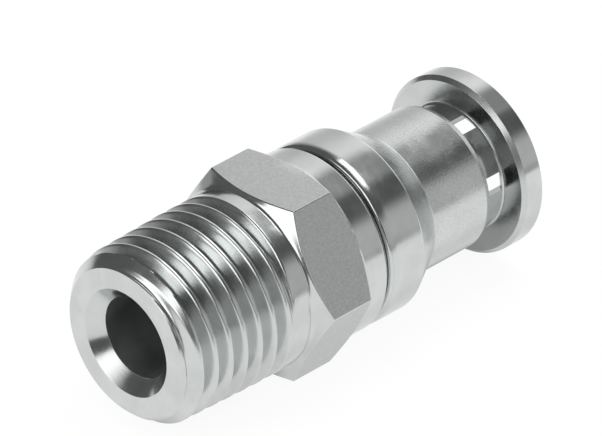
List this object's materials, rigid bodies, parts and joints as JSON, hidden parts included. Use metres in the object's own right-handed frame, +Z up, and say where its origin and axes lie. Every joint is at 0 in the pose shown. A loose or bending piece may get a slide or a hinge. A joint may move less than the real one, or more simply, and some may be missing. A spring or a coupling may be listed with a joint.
{
  "type": "push-in fitting",
  "caption": "Straight stainless steel push-in fitting with a taper male pipe thread, a hexagon, a stepped cap and a flanged release collet.",
  "frame": {"origin": "centre of the thread's end face, on the fitting's axis", "axes": "+X along the fitting's axis from the thread to the tube mouth, +Z up, square to a flat of the hexagon on which the fitting lies"},
  "size_m": [0.0337, 0.016, 0.0138],
  "materials": {
    "body_steel": "turned stainless steel, satin on the hexagon flats",
    "cap_steel": "drawn and polished stainless steel",
    "collet_steel": "turned stainless steel, bright rim",
    "seal_rubber": "matt black rubber",
    "ring_steel": "turned stainless steel"
  },
  "bodies": {
    "housing": {"body": "body_steel", "cap": "cap_steel", "seal": "seal_rubber", "support_ring": "ring_steel"},
    "collet": {"collet": "collet_steel"}
  },
  "joints": [
    {"name": "release_slide", "type": "slide", "parent": "housing", "child": "collet", "axis": [-1, 0, 0], "range_m": [0, 0.0015]}
  ]
}
